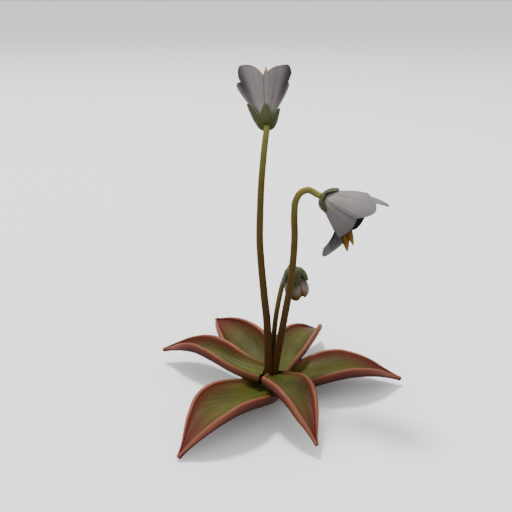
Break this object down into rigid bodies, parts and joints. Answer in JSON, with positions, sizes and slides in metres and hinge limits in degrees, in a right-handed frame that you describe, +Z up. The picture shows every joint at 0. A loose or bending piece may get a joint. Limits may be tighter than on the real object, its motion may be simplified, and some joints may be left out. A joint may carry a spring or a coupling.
{
  "type": "butterwort plant",
  "caption": "Butterwort in flower: a rosette of fleshy leaves with rolled margins, an upright and a nodding funnel-shaped bloom, and a hanging bud, on bare stalks.",
  "frame": {"origin": "centre of the crown's flat foot", "axes": "+Z up along the crown, -Y towards the front, where the foremost leaf points, +X towards the side of the hanging bud"},
  "size_m": [0.1011, 0.1037, 0.1286],
  "materials": {
    "crown": "dull, fibrous",
    "leaf": "waxy, olive green with reddish rolled margins",
    "stalk": "satin, olive above and reddish brown below",
    "petal": "soft, thin, pale grey lilac",
    "sepal": "soft, olive green",
    "stamen": "satin, orange"
  },
  "bodies": {
    "root": {"crown": "crown", "leaf_1": "leaf", "leaf_2": "leaf", "leaf_3": "leaf", "leaf_4": "leaf", "leaf_5": "leaf", "leaf_6": "leaf", "scape_1": "stalk", "scape_2": "stalk", "scape_3": "stalk", "bloom_1_corolla": "petal", "bloom_1_calyx": "sepal", "bloom_1_stamens": "stamen", "bloom_2_corolla": "petal", "bloom_2_calyx": "sepal", "bloom_2_stamens": "stamen", "bud_petals": "petal", "bud_calyx": "sepal"}
  },
  "joints": []
}
